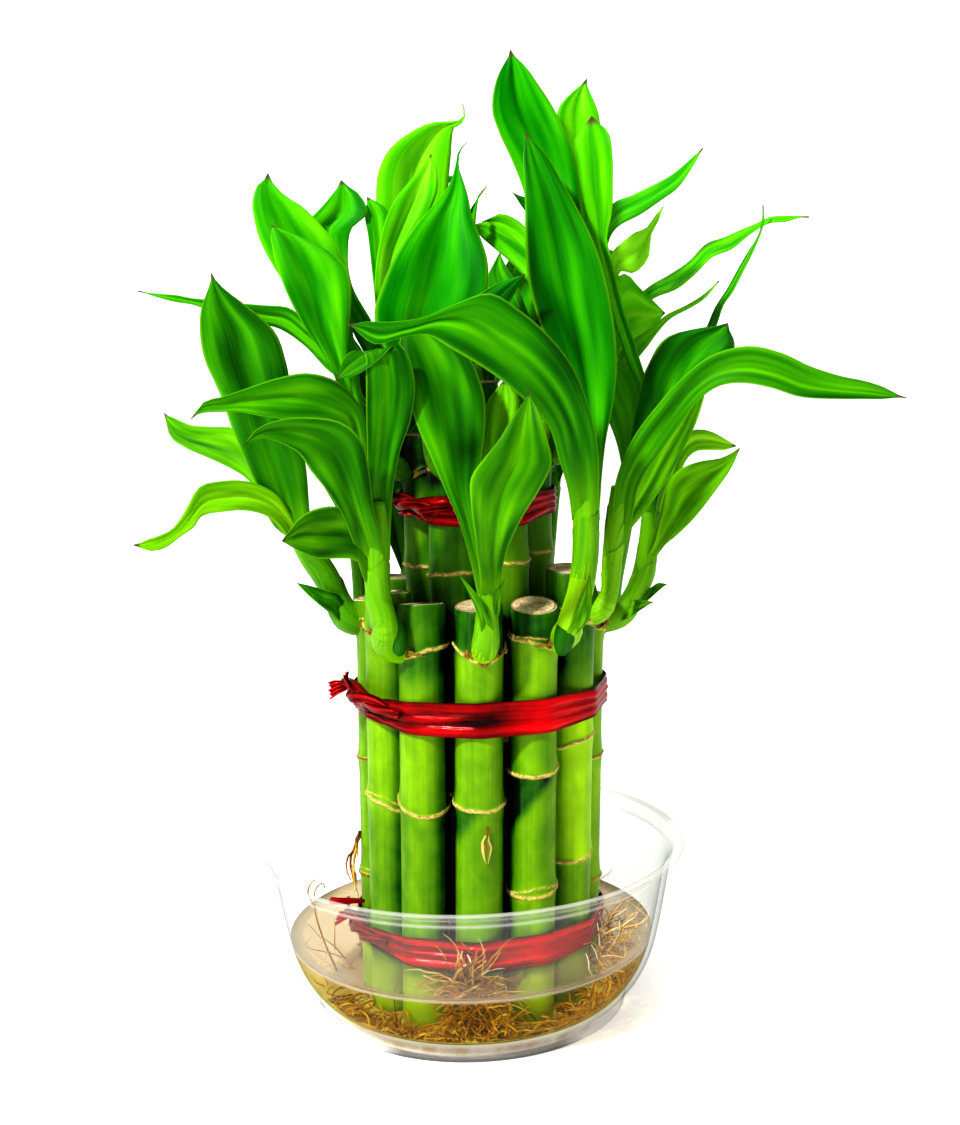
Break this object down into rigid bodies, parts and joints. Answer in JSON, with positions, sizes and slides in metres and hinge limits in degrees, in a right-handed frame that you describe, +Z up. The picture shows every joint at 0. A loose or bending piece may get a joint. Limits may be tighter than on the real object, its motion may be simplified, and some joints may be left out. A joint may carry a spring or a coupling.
{
  "type": "lucky bamboo",
  "caption": "Two-tier bundle of lucky bamboo canes with leafy green shoots, tied with red foil ribbon and standing in water in a clear round bowl.",
  "frame": {"origin": "middle of the bowl's foot, on the surface it stands on", "axes": "+Z up, -Y towards the viewer of the picture, +X to the viewer's right"},
  "size_m": [0.1701, 0.1463, 0.2268],
  "materials": {
    "clear_plastic": "clear, glossy",
    "water": "slightly brown water",
    "red_foil": "shiny creased foil",
    "cane": "smooth waxy green skin with tan rings",
    "leaf": "waxy leaf with lengthwise veins",
    "root": "fibrous"
  },
  "bodies": {
    "root": {"bowl": "clear_plastic", "water": "water", "roots_front": "root", "roots_right": "root", "roots_left": "root", "roots_aerial": "root", "ribbon_lower": "red_foil", "ribbon_middle": "red_foil", "ribbon_upper": "red_foil", "cane_outer_01": "cane", "cane_outer_02": "cane", "cane_outer_03": "cane", "cane_outer_04": "cane", "cane_outer_05": "cane", "cane_outer_06": "cane", "cane_outer_07": "cane", "cane_outer_08": "cane", "cane_outer_09": "cane", "cane_outer_10": "cane", "cane_outer_11": "cane", "cane_outer_12": "cane", "cane_inner_1": "cane", "cane_inner_2": "cane", "cane_inner_3": "cane", "cane_inner_4": "cane", "cane_inner_5": "cane", "cane_inner_6": "cane", "cane_centre": "cane", "shoot_outer_01": "leaf", "shoot_outer_02": "leaf", "shoot_outer_03": "leaf", "shoot_outer_04": "leaf", "shoot_outer_05": "leaf", "shoot_outer_06": "leaf", "shoot_outer_07": "leaf", "shoot_outer_08": "leaf", "shoot_outer_09": "leaf", "shoot_outer_10": "leaf", "shoot_outer_11": "leaf", "shoot_outer_12": "leaf", "shoot_inner_1": "leaf", "shoot_inner_2": "leaf", "shoot_inner_3": "leaf", "shoot_inner_4": "leaf", "shoot_inner_5": "leaf", "shoot_inner_6": "leaf", "shoot_centre": "leaf"}
  },
  "joints": []
}
